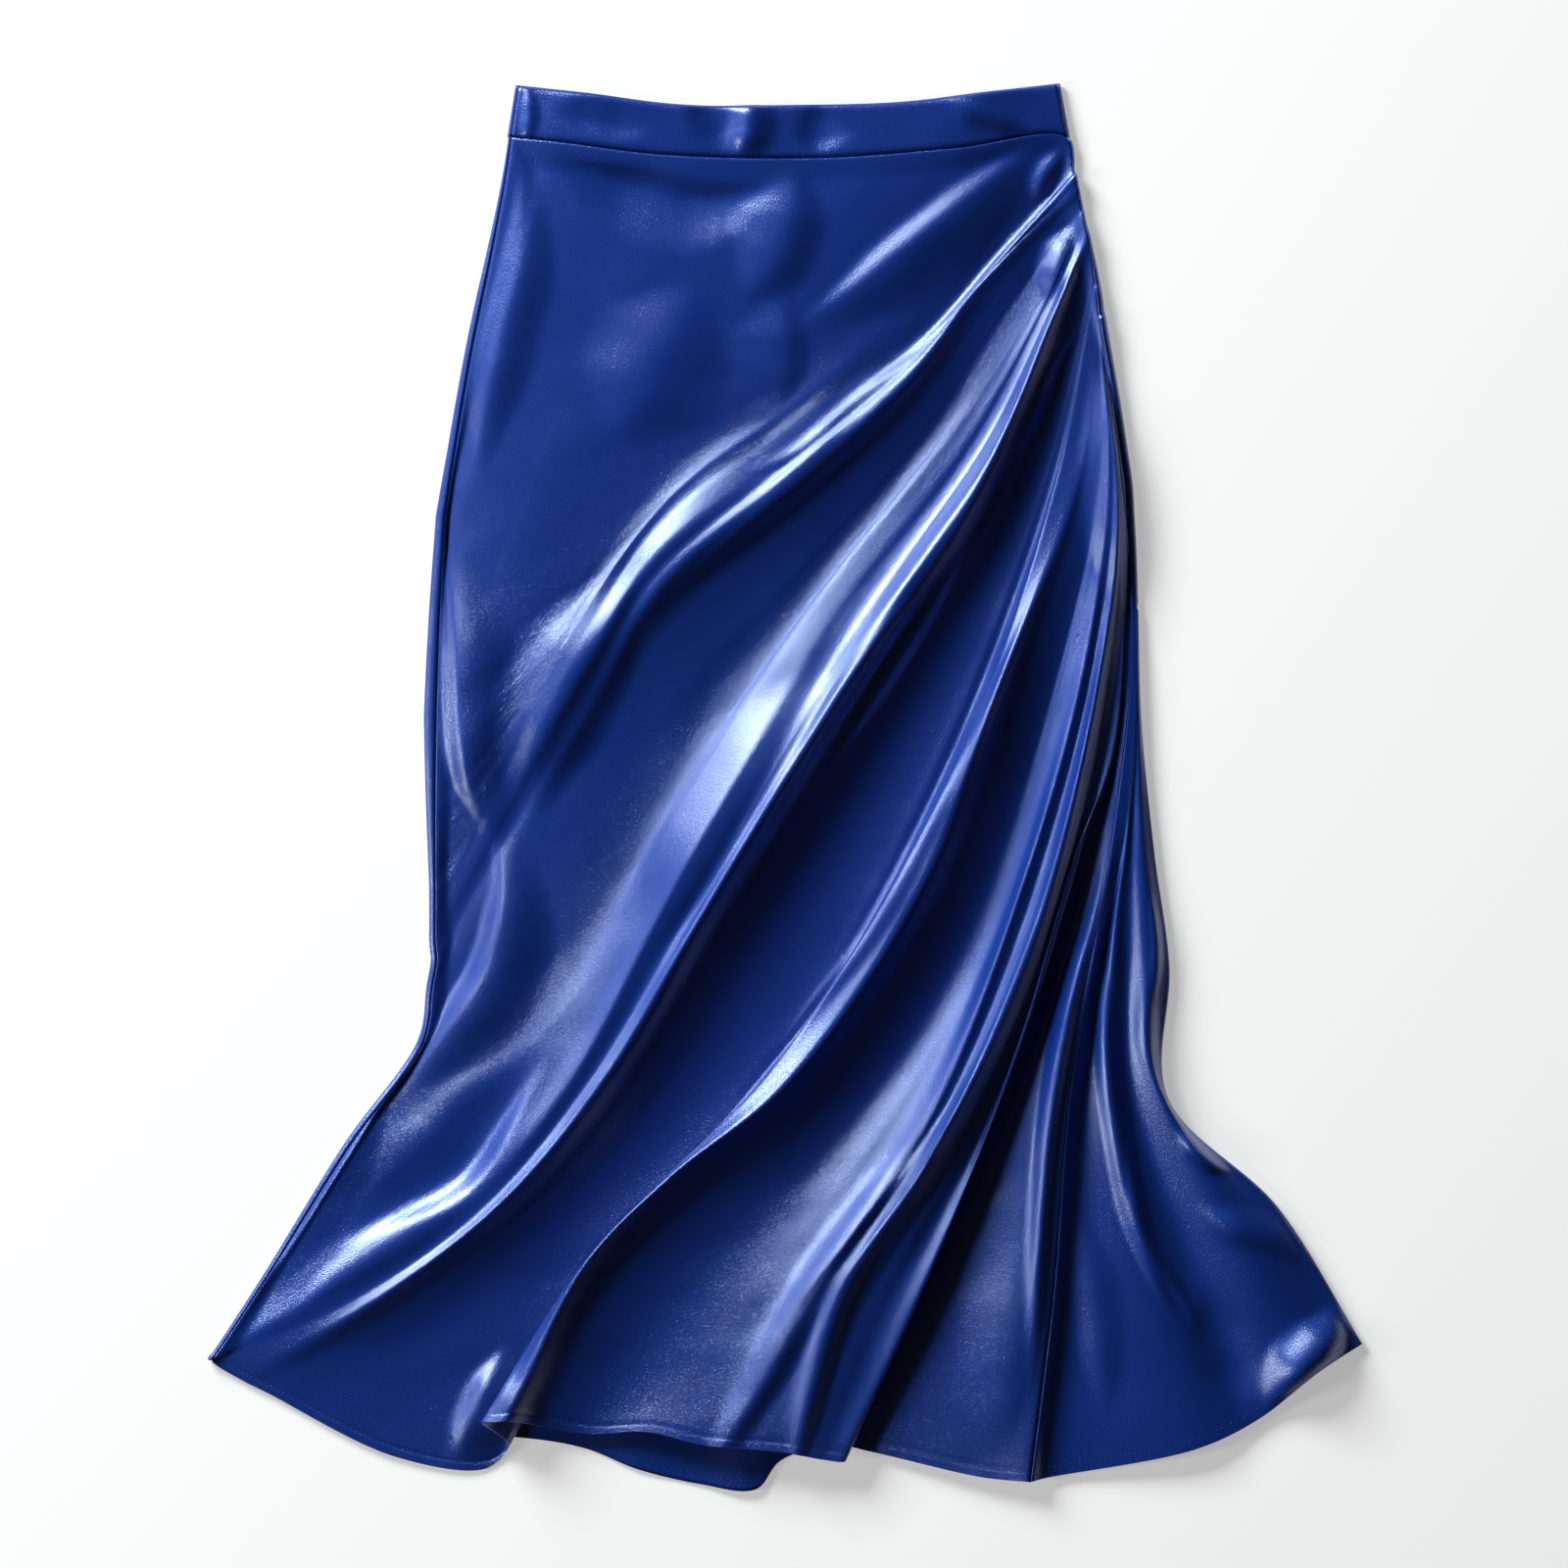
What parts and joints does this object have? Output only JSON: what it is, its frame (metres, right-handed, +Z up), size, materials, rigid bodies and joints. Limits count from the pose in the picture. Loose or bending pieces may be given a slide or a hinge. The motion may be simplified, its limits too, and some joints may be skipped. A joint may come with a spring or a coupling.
{
  "type": "slip skirt",
  "caption": "Royal blue satin slip skirt lying flat, with a plain waistband, a tuck at the hip and bias drapes down to a flared hem.",
  "frame": {"origin": "on the surface it lies on, under the middle of the outline", "axes": "+Z up from the surface, +Y from the hem to the waistband, +X to the right as seen from above"},
  "size_m": [0.706, 0.8609, 0.0252],
  "materials": {
    "satin": "satin",
    "thread": "matte"
  },
  "bodies": {
    "root": {"front_panel": "satin", "back_panel": "satin", "waistband_front": "satin", "waistband_back": "satin", "front_hem_left": "satin", "front_hem_middle": "satin", "front_hem_side": "satin", "back_hem": "satin", "back_hem_flare": "satin"}
  },
  "joints": []
}
